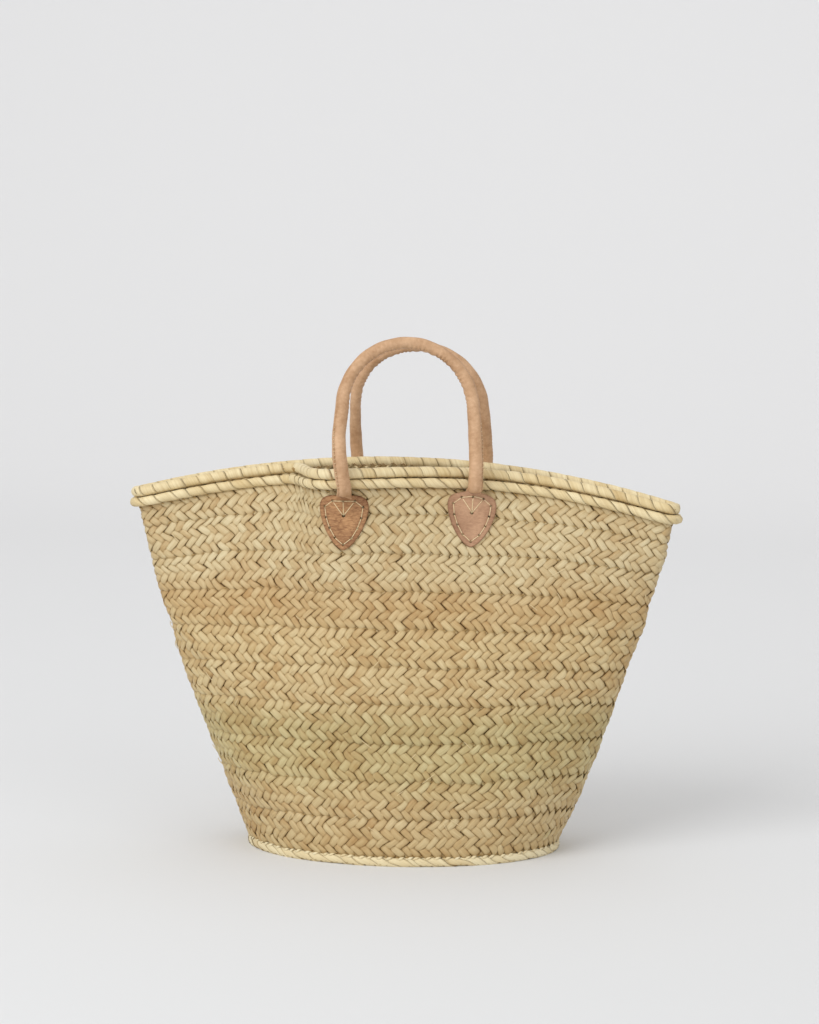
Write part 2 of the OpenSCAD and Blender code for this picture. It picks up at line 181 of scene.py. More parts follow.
def strip_tree():
    """Geometry Nodes that lay closed leaf strips side by side in the flat, then wrap them on a guide."""
    tree = bpy.data.node_groups.new("leaf_strips", "GeometryNodeTree")
    for name, kind, value in (
            ("Guide", "Object", None), ("Finish", "Material", None), ("Seed", "Int", 1),
            ("Strips", "Int", 100), ("Both ways", "Int", 1), ("Round", "Float", 50.0),
            ("Steps", "Int", 20), ("Sides", "Int", 8),
            ("Start", "Float", -0.8), ("End", "Float", 3.8), ("Rows", "Float", 4.0),
            ("First", "Float", -0.5),
            ("Lean", "Float", 1.0), ("Cross", "Float", 1.0), ("Half width", "Float", 0.25),
            ("Thickness", "Float", 0.0009), ("Crown", "Float", 0.0003), ("Height", "Float", 0.0),
            ("Lift", "Float", 0.0007), ("Tilt", "Float", 0.0), ("Tuck", "Float", 0.001),
            ("Tuck reach", "Float", 0.35), ("Wobble", "Float", 0.2), ("Scatter", "Float", 0.08)):
        socket = tree.interface.new_socket(name, in_out="INPUT", socket_type="NodeSocket" + kind)
        if value is not None:
            socket.default_value = value
    tree.interface.new_socket("Geometry", in_out="OUTPUT", socket_type="NodeSocketGeometry")
    given = tree.nodes.new("NodeGroupInput").outputs
    calc = calculator(tree)

    def vector(operation, *values):
        return add(tree, "ShaderNodeVectorMath", values, operation=operation).outputs[0]

    def xyz(x, y, z):
        return add(tree, "ShaderNodeCombineXYZ", (x, y, z)).outputs[0]

    def keep(geometry, name, kind, value):
        return add(tree, "GeometryNodeStoreNamedAttribute",
                   {"Geometry": geometry, "Name": name, "Value": value}, data_type=kind).outputs[0]

    def named(name, kind):
        return add(tree, "GeometryNodeInputNamedAttribute", (name,), data_type=kind).outputs[0]

    # One straight closed strip for each point, all in one place until they are laid.
    line = add(tree, "GeometryNodeMeshLine", {"Count": given["Strips"], "Offset": (0, 0, 0)}).outputs[0]
    number = add(tree, "GeometryNodeInputIndex").outputs[0]
    chance = add(tree, "FunctionNodeRandomValue", {"ID": number, "Seed": given["Seed"]},
                 data_type="FLOAT_VECTOR").outputs[0]
    line = keep(line, "number", "FLOAT", number)
    line = keep(line, "chance", "FLOAT_VECTOR", chance)
    shape = {"Vertices": given["Sides"], "Side Segments": given["Steps"], "Radius": 1.0, "Depth": 1.0}
    strip = add(tree, "GeometryNodeMeshCylinder", shape).outputs[0]
    strips = add(tree, "GeometryNodeInstanceOnPoints", {"Points": line, "Instance": strip}).outputs[0]
    strips = add(tree, "GeometryNodeRealizeInstances", (strips,)).outputs[0]

    # Where each point of a strip lies in the flat: x along the rim, y across the band, both in strips.
    at = add(tree, "GeometryNodeInputPosition").outputs[0]
    local = add(tree, "ShaderNodeSeparateXYZ", (at,)).outputs
    across, thick, run = local[0], local[1], calc("ADD", local[2], 0.5)
    luck = add(tree, "ShaderNodeSeparateXYZ", (named("chance", "FLOAT_VECTOR"),)).outputs
    each = calc("ADD", given["Both ways"], 1.0)
    odd = calc("MULTIPLY", calc("MODULO", named("number", "FLOAT"), 2.0), given["Both ways"])
    way = calc("SUBTRACT", 1.0, calc("MULTIPLY", odd, 2.0))
    lean = calc("MULTIPLY", given["Lean"], way)
    middle = calc("ADD", given["Start"],
                  calc("MULTIPLY", calc("SUBTRACT", given["End"], given["Start"]), run))
    half = calc("MULTIPLY", given["Half width"], calc("ADD", 0.93, calc("MULTIPLY", luck[1], 0.14)))
    x = calc("ADD", calc("FLOOR", calc("DIVIDE", named("number", "FLOAT"), each)),
             calc("MULTIPLY", way, calc("MULTIPLY", given["Both ways"], 0.25)))
    x = calc("ADD", x, calc("MULTIPLY", lean, calc("SUBTRACT", middle, odd)))
    x = calc("ADD", x, calc("MULTIPLY", calc("SUBTRACT", luck[0], 0.5), given["Scatter"]))
    x = calc("ADD", x, calc("MULTIPLY", across, half))
    y = calc("SUBTRACT", middle, calc("MULTIPLY", calc("MULTIPLY", lean, given["Cross"]),
                                      calc("MULTIPLY", across, half)))

    # Height above the guide: over and under, the strip's own thickness and crown, and tucked in ends.
    swing = calc("COSINE", calc("MULTIPLY", calc("ADD", middle, odd), math.pi))
    swing = calc("SUBTRACT", calc("MULTIPLY", swing, 1.5), calc("MULTIPLY", calc("POWER", swing, 3.0), 0.5))
    bulge = calc("SUBTRACT", 1.0, calc("MULTIPLY", across, across))
    before = calc("SUBTRACT", calc("ADD", given["Start"], given["Tuck reach"]), middle)
    after = calc("SUBTRACT", middle, calc("SUBTRACT", given["End"], given["Tuck reach"]))
    past = calc("ADD", calc("MAXIMUM", before, 0.0), calc("MAXIMUM", after, 0.0))
    high = calc("ADD", given["Height"], calc("MULTIPLY", swing, given["Lift"]))
    high = calc("ADD", high, calc("MULTIPLY", calc("MULTIPLY", thick, given["Thickness"]), 0.5))
    high = calc("ADD", high, calc("MULTIPLY", bulge, given["Crown"]))
    high = calc("ADD", high, calc("MULTIPLY", across, given["Tilt"]))
    high = calc("SUBTRACT", high, calc("MULTIPLY", calc("DIVIDE", past, given["Tuck reach"]), given["Tuck"]))
    high = calc("ADD", high, calc("MULTIPLY", calc("SUBTRACT", luck[2], 0.5),
                                  calc("MULTIPLY", given["Thickness"], 0.25)))

    strips = keep(strips, "leaf", "FLOAT_VECTOR", xyz(across, middle, named("number", "FLOAT")))
    strips = keep(strips, "tone", "FLOAT", luck[2])
    # over, the rise and fall of each strip, also sets the painted shade on tucked parts in the straw
    # materials.
    strips = keep(strips, "over", "FLOAT", calc("MULTIPLY", swing, calc("SIGN", calc("ADD", thick, 0.2))))

    def on_guide(value, u, v):
        surface = add(tree, "GeometryNodeObjectInfo", (given["Guide"],)).outputs["Geometry"]
        return add(tree, "GeometryNodeSampleUVSurface",
                   (surface, value, named("lay", "FLOAT_VECTOR"), xyz(u, v, 0.0)),
                   data_type="FLOAT_VECTOR").outputs[0]

    u = calc("DIVIDE", x, given["Round"])
    v = calc("DIVIDE", calc("SUBTRACT", y, given["First"]), given["Rows"])
    place = add(tree, "GeometryNodeInputPosition").outputs[0]
    near = on_guide(place, u, v)
    noise = add(tree, "ShaderNodeTexNoise", {"Vector": near, "Scale": 38.0, "Detail": 1.0}).outputs["Color"]
    stray = add(tree, "ShaderNodeSeparateXYZ", (vector("SUBTRACT", noise, (0.5, 0.5, 0.5)),)).outputs
    u = calc("DIVIDE", calc("ADD", x, calc("MULTIPLY", stray[0], given["Wobble"])), given["Round"])
    v = calc("DIVIDE", calc("ADD", calc("SUBTRACT", y, given["First"]),
                            calc("MULTIPLY", stray[1], given["Wobble"])), given["Rows"])
    out = on_guide(named("out", "FLOAT_VECTOR"), u, v)
    scaled = add(tree, "ShaderNodeVectorMath", {0: out, "Scale": high}, operation="SCALE").outputs[0]
    strips = add(tree, "GeometryNodeSetPosition",
                 {"Geometry": strips, "Position": vector("ADD", on_guide(place, u, v), scaled)}).outputs[0]
    strips = add(tree, "GeometryNodeSetShadeSmooth", (strips,)).outputs[0]
    strips = add(tree, "GeometryNodeRealizeInstances", (strips,)).outputs[0]
    strips = add(tree, "GeometryNodeSetMaterial",
                 {"Geometry": strips, "Material": given["Finish"]}).outputs[0]
    add(tree, "NodeGroupOutput", (strips,))
    return tree


leaf_strips = strip_tree()


def keep_result(made):
    """Makes the result of an object's modifiers its own mesh."""
    graph = bpy.context.evaluated_depsgraph_get()
    made.data = bpy.data.meshes.new_from_object(made.evaluated_get(graph), preserve_all_data_layers=True,
                                                depsgraph=graph)
    made.modifiers.clear()


def grow(name, tree, **values):
    """Runs a Geometry Nodes tree once and keeps its result as a plain mesh object."""
    made = bpy.data.objects.new(name, bpy.data.meshes.new(name))
    bpy.context.scene.collection.objects.link(made)
    modifier = made.modifiers.new("grow", "NODES")
    modifier.node_group = tree
    for item in tree.interface.items_tree:
        key = item.name.replace(" ", "_").lower()
        if item.in_out == "INPUT" and key in values:
            modifier[item.identifier] = values.pop(key)
    assert not values, values
    keep_result(made)
    return made


def straw(name, ramp, fibre=0.16, stain=0.5, rough=0.52, zones=0.0, gain=1.0, rim=0.15, under_shade_level=1.0):
    """Dry palm leaf: its tone changes from strip to strip, with fine fibres along each strip, and painted
    shade along each strip's edges and where it passes under others.
    """
    material, tree, shader = new_material(name)
    calc = calculator(tree)

    def mixed(kind, amount, first, second):
        return add(tree, "ShaderNodeMix", {"Factor": amount, 6: first, 7: second},
                   data_type="RGBA", blend_type=kind).outputs[2]

    leaf = add(tree, "ShaderNodeAttribute", attribute_name="leaf").outputs["Vector"]
    parts = add(tree, "ShaderNodeSeparateXYZ", (leaf,)).outputs
    tone = add(tree, "ShaderNodeAttribute", attribute_name="tone").outputs["Fac"]
    over = add(tree, "ShaderNodeAttribute", attribute_name="over").outputs["Fac"]
    place = add(tree, "ShaderNodeTexCoord").outputs["Object"]
    number = calc("MULTIPLY", parts[2], 7.31)

    def along_leaf(across, down, **look):
        at = (calc("MULTIPLY", parts[0], across), calc("MULTIPLY", parts[1], down), number)
        return add(tree, "ShaderNodeTexNoise", {"Vector": add(tree, "ShaderNodeCombineXYZ", at).outputs[0],
                                                "Scale": 1.0, **look}).outputs["Fac"]

    fibres = along_leaf(5.5, 0.8, Detail=4.0, Roughness=0.62)
    blotch = along_leaf(0.5, 1.1, Detail=2.0)
    drift = add(tree, "ShaderNodeTexNoise", {"Vector": place, "Scale": 9.0, "Detail": 3.0}).outputs["Fac"]
    shade = calc("ADD", calc("ADD", 0.26, calc("MULTIPLY", tone, 0.46)),
                 calc("MULTIPLY", calc("SUBTRACT", blotch, 0.5), 0.7))
    shade = calc("ADD", shade, calc("MULTIPLY", calc("SUBTRACT", drift, 0.5), stain))
    colours = add(tree, "ShaderNodeValToRGB", (shade,))
    fill_ramp(colours, ramp, gain)
    height = add(tree, "ShaderNodeSeparateXYZ", (place,)).outputs[2]
    height = calc("ADD", height, calc("MULTIPLY", calc("SUBTRACT", drift, 0.5), 0.03))
    lots = add(tree, "ShaderNodeValToRGB", (calc("MULTIPLY", height, 2.5),))
    lots.color_ramp.interpolation = "EASE"
    fill_ramp(lots, ((0.0, "#f6efe2"), (1.0, "#ffffff"), (0.12, "#f8f3ea"), (0.24, "#f0f1e2"),
                     (0.31, "#ebecdc"), (0.4, "#fbf7ee"), (0.52, "#fdf8ee"), (0.61, "#f4e8d8"),
                     (0.7, "#ffffff")))
    grain = calc("ADD", 1.0, calc("MULTIPLY", calc("SUBTRACT", fibres, 0.5), fibre * 2.4))
    # Painted shade in the gaps: each strip is darker towards both its edges, by the rim amount.
    edge = calc("SUBTRACT", 1.0, calc("MULTIPLY", calc("POWER", calc("ABSOLUTE", parts[0]), 5.0), rim))
    # Painted shade where a strip passes under its neighbours: darker as it dips, down to the level given.
    painted_under_shade = add(tree, "ShaderNodeMapRange", {0: over, 1: -1.0, 2: 0.5, 3: under_shade_level, 4: 1.0}).outputs[0]
    # Fibre grain times the painted shade; the darker parts also turn warmer below.
    fibres_and_painted_shade = calc("MULTIPLY", calc("MULTIPLY", grain, edge), painted_under_shade)
    colour = mixed("MULTIPLY", zones, colours.outputs[0], lots.outputs[0])
    warmer = [calc("POWER", fibres_and_painted_shade, power) for power in (0.85, 1.1, 1.5)]
    colour = mixed("MULTIPLY", 1.0, colour, add(tree, "ShaderNodeCombineXYZ", warmer).outputs[0])
    tree.links.new(colour, shader.inputs["Base Color"])
    tree.links.new(calc("ADD", rough - 0.06, calc("MULTIPLY", fibres, 0.16)), shader.inputs["Roughness"])
    shader.inputs["IOR"].default_value = 1.5
    shader.inputs["Specular IOR Level"].default_value = 0.38
    bump = add(tree, "ShaderNodeBump", {"Strength": 0.55, "Distance": 0.0006, "Height": fibres})
    tree.links.new(bump.outputs[0], shader.inputs["Normal"])
    return material


# Here the painted shade is strong: rim darkens the strip edges and the last setting darkens tucked parts.
palm_plait = straw("palm_plait", ((0.0, "#b28f5c"), (1.0, "#e8dab4"), (0.16, "#c6a674"), (0.38, "#d2b98a"),
                                  (0.62, "#dac599"), (0.82, "#e1cfa5"), (0.93, "#cbbc8b")),
                   stain=0.42, fibre=0.26, zones=1.0, gain=0.83, rim=0.55, under_shade_level=0.3)


def strips_on(name, place, pitch, material, seed, both_ways=0, **values):
    """A layer of strips at a pitch in mm on a guide and its length. The guide is taken away."""
    surface, around = place
    count = round(around / pitch)
    made = grow(name, leaf_strips, guide=surface, finish=material, seed=seed, both_ways=both_ways,
                strips=count * (1 + both_ways), round=float(count), **values)
    bpy.data.objects.remove(surface)
    return made


def laid(name, place, pitch, material, seed, body, slot, nodes, **values):
    """A layer of strips as one piece that rides on a body and stands for CAD nodes."""
    made = strips_on(name, place, pitch, material, seed, **values)
    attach(made, body)
    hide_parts(*nodes)
    return made


plait = dict(both_ways=1, rows=4.0, first=-0.5, start=-0.78, end=3.78, lean=-1.0, half_width=0.285)
oval_turn = np.linspace(0, 2 * np.pi, 721)


def oval_guide(name, outer, inner):
    """The flat place of one turn of the bottom, between two insets from the bottom's outline."""
    a = np.stack([(bottom_half_l - outer) * np.cos(oval_turn),
                  (bottom_half_d - outer) * np.sin(oval_turn)], -1)
    if inner is None:
        b = np.stack([(bottom_half_l - bottom_half_d) * np.cos(oval_turn), 0 * oval_turn], -1)
    else:
        b = np.stack([(bottom_half_l - inner) * np.cos(oval_turn),
                      (bottom_half_d - inner) * np.sin(oval_turn)], -1)
    middle = (a + b) / 2
    length = run_length(middle)
    s = np.linspace(-0.2, 1.2, 421)
    turn = np.interp(s % 1.0, length / length[-1], oval_turn)
    rows = np.linspace(-0.25, 1.25, 9)
    points = np.zeros((len(rows), len(s), 3))
    for i, r in enumerate(rows):
        edge = np.clip(r, -0.2, 1.0) if inner is None else r
        for axis in (0, 1):
            points[i, :, axis] = (1 - edge) * np.interp(turn, oval_turn, a[:, axis]) \
                + edge * np.interp(turn, oval_turn, b[:, axis])
    points[..., 2] = band_t / 2 + 0.5
    out = np.zeros_like(points)
    out[..., 2] = 1
    return guide(name, points, out, s, rows), length[-1]


for k in (1, 2, 3):
    outer = edge_t / 2 + (3 - k) * turn_w + 0.1
    flat = oval_guide(f"bottom_place_{k}", outer, outer + turn_w if k > 1 else None)
    laid(f"base_turn_{k}", flat, strip_pitch, palm_plait, 10 + k, "basket", "palm_plait", [f"base_turn_{k}"],
         thickness=0.0009, lift=0.0006, crown=0.0001, tuck=0.0002, wobble=0.15, **plait)

# Wall. The same band climbs from the bottom in ten turns, and its edges are looped together
# with a fine leaf cord. The wall flares to the rim, and the mouth is pinched almost shut.
rim_z, rim_drop, rim_tilt, roll_r, turns = 372.0, 33.0, 3.5, 5.2, 10
flare, flare_turn, end_swell, back_bow, front_bow, lips = 115.0, 6.0, 10.5, 23.5, 34.0, 6.8
open_depth, open_tail, fold_at, fold_soft, fold_ease = 88.0, 10.0, -0.33, 0.03, 0.1
tip_sharp, tip_width, lean_power, push_power = 0.97, 0.08, 1.4, 2.5
wall_z = edge_h + 1
band_top = 1 - (roll_r + 0.2) / (rim_z - wall_z)
lumps = [(f, g, p, h) for f, g, p, h in zip((3, 5, 8, 11, 15, 21), (1.5, 2.5, 1.0, 4.0, 5.5, 8.0),
                                            dice.uniform(0, 6.28, 6), (0.7, 0.6, 0.6, 0.5, 0.4, 0.35))]


def wall(u, v):
    """Middle of the wall in mm. u is degrees from the right end over the back, v is 0 to 1 up it."""
    u, v = np.broadcast_arrays(np.radians(u), np.asarray(v, float))
    low = np.maximum(v, 0)
    along = np.arcsin(tip_sharp * np.cos(u)) / np.arcsin(tip_sharp)
    side = np.arctan(np.sin(u) / tip_width) / np.arctan(1 / tip_width)
    push = low ** push_power
    opening = (open_depth / (1 + np.exp((along - 0.08) / 0.17)) + open_tail * (1 - along ** 2)) \
        / (1 + np.exp((fold_at - along) / (fold_soft + fold_ease * (1 - low))))
    front = -front_bow * (1 - along ** 2) + push * ((back_bow + front_bow) * (1 - along ** 2) - opening)
    mouth = lips * side + np.where(np.sin(u) >= 0, back_bow * (1 - along ** 2), front)
    half_length = bottom_half_l + flare * v - flare_turn * low ** 12 + end_swell * np.sin(np.pi * v)
    x = half_length * ((1 - v) * np.cos(u) + v * along)
    y = (1 - low ** lean_power) * bottom_half_d * np.sin(u) + low ** lean_power * mouth
    z = wall_z + v * (rim_z - wall_z - rim_drop * v * along ** 2 - rim_tilt * v * along)
    return np.stack([x, y, z], -1)


def outward(u, v):
    """Outward direction in plan, level with the ground."""
    run = wall(u + 0.3, v) - wall(u - 0.3, v)
    return unit(np.stack([run[..., 1], -run[..., 0], 0 * run[..., 0]], -1))


def facing(u, v):
    """Outward normal of the sloping wall."""
    run, rise = wall(u + 0.3, v) - wall(u - 0.3, v), wall(u, v + 0.004) - wall(u, v - 0.004)
    return unit(np.cross(run, rise))


def lumpy(u, v):
    """How far the hand made wall stands out from its even shape, in mm."""
    total = sum(h * np.sin(f * np.radians(u) + g * 6.28 * v + p) for f, g, p, h in lumps)
    return total * np.clip(v * 12, 0, 1) * np.clip((1.02 - v) * 9, 0.1, 1)


def even_turns(v):
    """Turns round the wall at a height, and the length from the right end to each of them."""
    u = np.linspace(0, 360, 4001)
    return u, run_length(wall(u, v))


def wall_guide(name, low, high, rows=13, crest=0.8):
    """The place of one turn of the band, a little longer and wider than the turn itself."""
    u, length = even_turns((low + high) / 2)
    s = np.linspace(-0.07, 1.07, 901)
    turn = np.interp(s % 1.0, length / length[-1], u)
    across = np.linspace(-0.25, 1.25, rows)
    v = low + (high - low) * across
    uu, vv = np.broadcast_arrays(turn[None, :], v[:, None])
    out = facing(uu, vv)
    rise = lumpy(uu, vv) + crest * np.sin(np.pi * np.clip(across, 0, 1))[:, None]
    return guide(name, wall(uu, vv) + rise[..., None] * out, out, s, across), length[-1]


for k in range(1, turns + 1):
    climb = wall_guide(f"wall_place_{k}", band_top * (k - 1) / turns, band_top * k / turns)
    laid(f"side_band_{k:02d}", climb, strip_pitch, palm_plait, 20 + k, "basket", "palm_plait",
         [f"side_band_{k:02d}"], thickness=0.0012, lift=0.001, crown=0.00055, tuck=0.0024, wobble=0.95,
         scatter=0.24, **{**plait, "start": -0.7, "end": 3.7})

# Sewing cords. A fine twisted leaf cord, 1.2 mm thick, runs in each join between two turns
# of the band, through the loops at their edges. It shows only in the slits.
palm_cord = straw("palm_cord", ((0.0, "#8a6a3e"), (1.0, "#c9ae78"), (0.4, "#a88853"), (0.7, "#b99b64")),
                  fibre=0.25)
cord = dict(rows=1.0, first=-0.5, start=-0.17, end=0.17, lean=3.4, half_width=0.02, cross=1.0,
            lift=0.0, thickness=0.0011, crown=0.0002, height=-0.0003, tuck=0.0004, tuck_reach=0.08,
            wobble=0.12, steps=6, sides=6)
half_row = 0.5 * strip_pitch / (rim_z - wall_z)
for k in range(1, turns + 1):
    join = band_top * (k - 1) / turns
    climb = wall_guide(f"join_place_{k}", join - half_row, join + half_row, rows=5, crest=0.0)
    laid(f"seam_cord_{k:02d}", climb, strip_pitch, palm_cord, 60 + k, "basket", "palm_cord",
         [f"seam_cord_{k:02d}"], **cord)
for k in (1, 2):
    middle = edge_t / 2 + 0.1 + (3 - k) * turn_w - turn_gap / 2
    flat = oval_guide(f"bottom_join_{k}", middle - strip_pitch / 2, middle + strip_pitch / 2)
    laid(f"base_seam_{k}", flat, strip_pitch, palm_cord, 75 + k, "basket", "palm_cord",
         [f"base_seam_{k}"], **cord)

# Bottom edge. A strip of leaf is folded over the joint of the bottom and the wall and whipped
# down all round. Its laps are long and slanted, and its upper edge is ragged.
palm_edge = straw("palm_edge", ((0.0, "#cfb685"), (1.0, "#eadfc0"), (0.35, "#dccaa0"), (0.65, "#e2d3ac")),
                  stain=0.3)


def tube_guide(name, path, out, along_r, up_r, start):
    """The place of a wrapping round a core that runs along a closed path."""
    length = run_length(path)
    s = np.linspace(-0.04, 1.04, 1301)
    at = s % 1.0 * length[-1]
    line = np.stack([np.interp(at, length, path[:, k]) for k in range(3)], -1)[None]
    level = unit(np.stack([np.interp(at, length, out[:, k]) for k in range(3)], -1))[None]
    turn = np.linspace(-0.3, 1.3, 41)
    angle = (2 * np.pi * turn + start)[:, None, None]
    upright = np.array([0.0, 0.0, 1.0])
    normal = unit(np.cos(angle) * level / along_r + np.sin(angle) * upright / up_r)
    points = line + np.cos(angle) * level * along_r + np.sin(angle) * upright * up_r
    return guide(name, points, normal, s, turn), length[-1]


ring_turns = np.linspace(0, 360, 4001)
ring = np.radians(ring_turns)
foot_line = np.stack([bottom_half_l * np.cos(ring), bottom_half_d * np.sin(ring), 0 * ring + 4.2], -1)
foot_line[:, 2] += 0.35 * np.sin(ring * 9) + 0.25 * np.sin(ring * 23 + 1)
foot_way = outward(ring_turns, 0.0)
lap_pitch, tooth_pitch = 15.0, 9.2
laid("base_edge", tube_guide("edge_place", foot_line, foot_way, 1.9, 3.9, math.radians(180)), lap_pitch,
     palm_edge, 81, "basket", "palm_wrap", ["base_edge"], rows=1.0, first=0.0, start=-0.06, end=1.06,
     lean=-2.6, cross=0.0, half_width=0.8, lift=0.0, thickness=0.0007, crown=0.0, tilt=0.0006, tuck=0.0004,
     tuck_reach=0.1, wobble=0.5, scatter=0.5, steps=30, sides=8)
edge_top = tube_guide("teeth_place", foot_line + (0.0, 0.0, 3.6), foot_way, 1.8, 1.8, math.radians(-70))
teeth = strips_on("edge_teeth", edge_top, tooth_pitch, palm_edge, 82, rows=1.0, first=0.0, start=-0.02,
                  end=0.44, lean=1.1, cross=0.0, half_width=0.24, lift=0.0, thickness=0.0009, crown=0.0003,
                  tuck=0.0012, tuck_reach=0.12, wobble=0.35, scatter=0.4, steps=10)
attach(teeth, "basket")

# Rim. A thick roll of leaf lies on the wall's top edge and a bead lies outside just under it.
# Both are leaf cores wrapped in flat leaf, each lap over the edge of the one before.
bead_r, roll_out = 4.6, 4.0
bead_out = band_t / 2 + 0.9 + bead_r
bead_drop = roll_r + bead_r + 0.2
palm_wrap = straw("palm_wrap", ((0.0, "#c4a875"), (1.0, "#e8dcb8"), (0.25, "#d3bd8e"), (0.5, "#dac79c"),
                                (0.8, "#e0cfa6")), stain=0.3, fibre=0.3)


def below(u, drop):
    """How far up the wall a point is that lies a drop in mm below the rim."""
    along = np.arcsin(tip_sharp * np.cos(np.radians(u))) / np.arcsin(tip_sharp)
    return 1 - drop / (rim_z - wall_z - 2 * (rim_drop * along ** 2 + rim_tilt * along))


def rim_path(out, drop):
    """A line round the rim, out from the wall and below its top, and its outward directions."""
    v = below(ring_turns, drop)
    away_from = outward(ring_turns, v)
    lumps_half = (0.5 * lumpy(ring_turns, v))[:, None]
    return wall(ring_turns, v) + out * away_from + lumps_half * away_from, away_from


wrap = dict(rows=1.0, first=0.0, start=-0.05, end=1.05, cross=0.0, lift=0.0, thickness=0.0007,
            tuck=0.0004, tuck_reach=0.08, steps=34, sides=8)
roll_pitch, bead_pitch, leaf_t = 14.5, 15.5, 0.5
round_roll = tube_guide("roll_place", *rim_path(roll_out, 0.0), roll_r - leaf_t, roll_r - leaf_t,
                        math.radians(265))
laid("rim_roll_wrap", round_roll, roll_pitch, palm_wrap, 83, "basket", "palm_wrap", ["rim_roll_wrap"],
     lean=-0.9, half_width=0.7, crown=0.0001, tilt=0.00025, wobble=0.3, scatter=0.3, **wrap)
round_bead = tube_guide("bead_place", *rim_path(bead_out, bead_drop), bead_r - leaf_t, bead_r - leaf_t,
                        math.radians(120))
laid("rim_bead_wrap", round_bead, bead_pitch, palm_wrap, 84, "basket", "palm_wrap", ["rim_bead_wrap"],
     lean=-1.35, half_width=0.68, crown=0.0001, tilt=0.0005, wobble=0.3, scatter=0.35, **wrap)

# Lacing. A leaf cord laces the roll and the bead to the wall: slanted loops show inside,
# just under the roll, and small dark stitches show outside, under the bead.


def rim_side_guide(name, top, bottom, gap, side):
    """A strip of the wall's face under the rim, on its outside or inside."""
    u, length = even_turns(0.98)
    s = np.linspace(-0.05, 1.05, 1101)
    turn = np.interp(s % 1.0, length / length[-1], u)
    rows = np.linspace(-0.25, 1.25, 7)
    uu, drop = np.broadcast_arrays(turn[None, :], (bottom + (top - bottom) * rows)[:, None])
    v = below(uu, drop)
    out = outward(uu, v)
    return guide(name, wall(uu, v) + side * gap * out, side * out, s, rows), length[-1]


loop_pitch, stitch_pitch = 10.3, 11.5
inner_loops = strips_on("rim_lacing", rim_side_guide("lacing_place", 5.0, 15.0, 1.9, -1), loop_pitch,
                        palm_wrap, 86, rows=1.0, first=0.0, start=-0.1, end=1.1, lean=0.95, cross=0.4,
                        half_width=0.17, lift=0.0, thickness=0.0026, crown=0.0003, tuck=0.0018,
                        tuck_reach=0.35, wobble=0.25, scatter=0.15, steps=12)
outer_stitches = strips_on("rim_stitches", rim_side_guide("stitch_place", 13.0, 18.5, 2.2, 1), stitch_pitch,
                           palm_cord, 87, rows=1.0, first=0.0, start=0.0, end=1.0, lean=-0.75, cross=0.3,
                           half_width=0.1, lift=0.0, thickness=0.0014, crown=0.0003, tuck=0.002,
                           tuck_reach=0.4, wobble=0.3, scatter=0.3, steps=8, sides=6)
for piece, slot in ((inner_loops, "palm_wrap"), (outer_stitches, "palm_cord")):
    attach(piece, "basket")
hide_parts("rim_lacing")
for name in ("rim_roll_core", "rim_bead_core"):
    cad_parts[name].data.materials.clear()
    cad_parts[name].data.materials.append(palm_cord)

# Patches. Each leg's flat end is covered by a shield of vegetable tanned leather, 2.2 mm thick,
# which bulges over it and is sewn through the wall with cream thread in thirteen punched holes.
leather_r, foot_gap, handle_h, leg_up, bend_r = 6.6, 1.0, 140.5, 20.0, 34.0
foot_out = bead_out + bead_r + foot_gap + leather_r
patch_w, patch_h, patch_t, patch_brow, patch_drop, hole_inset = 47.0, 53.0, 2.2, 14.0, 6.6, 5.2
legs = {"front_left": (256.0, 0.9625), "front_right": (291.0, 0.9625),
        "back_left": (105.5, 0.9475), "back_right": (68.5, 0.9475)}


def leather(name, light, dark, grain=0.5, crease=0.3):
    """Natural vegetable tanned leather: fine pores, soft creases, and tone that drifts with handling."""
    material, tree, shader = new_material(name)
    calc = calculator(tree)
    place = add(tree, "ShaderNodeTexCoord").outputs["Object"]
    worn = add(tree, "ShaderNodeAttribute", attribute_name="worn").outputs["Fac"]
    run = add(tree, "ShaderNodeAttribute", attribute_name="run").outputs["Vector"]
    pores = add(tree, "ShaderNodeTexVoronoi",
                {"Vector": place, "Scale": 1150.0, "Randomness": 1.0}).outputs["Distance"]
    fine = add(tree, "ShaderNodeTexNoise",
               {"Vector": place, "Scale": 420.0, "Detail": 4.0, "Roughness": 0.6}).outputs["Fac"]
    drift = add(tree, "ShaderNodeTexNoise", {"Vector": place, "Scale": 46.0, "Detail": 3.0}).outputs["Fac"]
    folds = add(tree, "ShaderNodeTexNoise", {
        "Vector": add(tree, "ShaderNodeVectorMath", (run, (0.26, 0.3, 1.0)), operation="MULTIPLY").outputs[0],
        "Scale": 1.0, "Detail": 3.0, "Roughness": 0.55, "Distortion": 0.8}).outputs["Fac"]
    amount = calc("ADD", calc("ADD", calc("MULTIPLY", drift, 0.9), calc("MULTIPLY", fine, 0.35)),
                  calc("MULTIPLY", calc("SUBTRACT", folds, 0.5), crease))
    amount = calc("ADD", amount, calc("MULTIPLY", worn, 0.8))
    colours = add(tree, "ShaderNodeValToRGB", (calc("SUBTRACT", amount, 0.12),))
    fill_ramp(colours, ((0.25, light), (0.95, dark)))
    tree.links.new(colours.outputs[0], shader.inputs["Base Color"])
    tree.links.new(calc("ADD", 0.46, calc("MULTIPLY", fine, 0.18)), shader.inputs["Roughness"])
    shader.inputs["IOR"].default_value = 1.45
    shader.inputs["Specular IOR Level"].default_value = 0.42
    height = calc("ADD", calc("MULTIPLY", pores, 0.35 * grain), calc("MULTIPLY", fine, 0.5 * grain))
    height = calc("ADD", height, calc("MULTIPLY", folds, crease * 2.2))
    bump = add(tree, "ShaderNodeBump", {"Strength": 0.5, "Distance": 0.0005, "Height": height})
    tree.links.new(bump.outputs[0], shader.inputs["Normal"])
    return material


def patch_axes(u, v):
    """Place, outward, up and across directions of a patch on the wall."""
    over = wall(u + 1, v - 0.06) - wall(u - 1, v - 0.06)
    rise = wall(u, v) - wall(u, v - 0.12)
    out = unit(np.cross(over, rise))
    up = unit(rise - (rise @ out) * out)
    return wall(u, v), np.cross(up, out), up, out


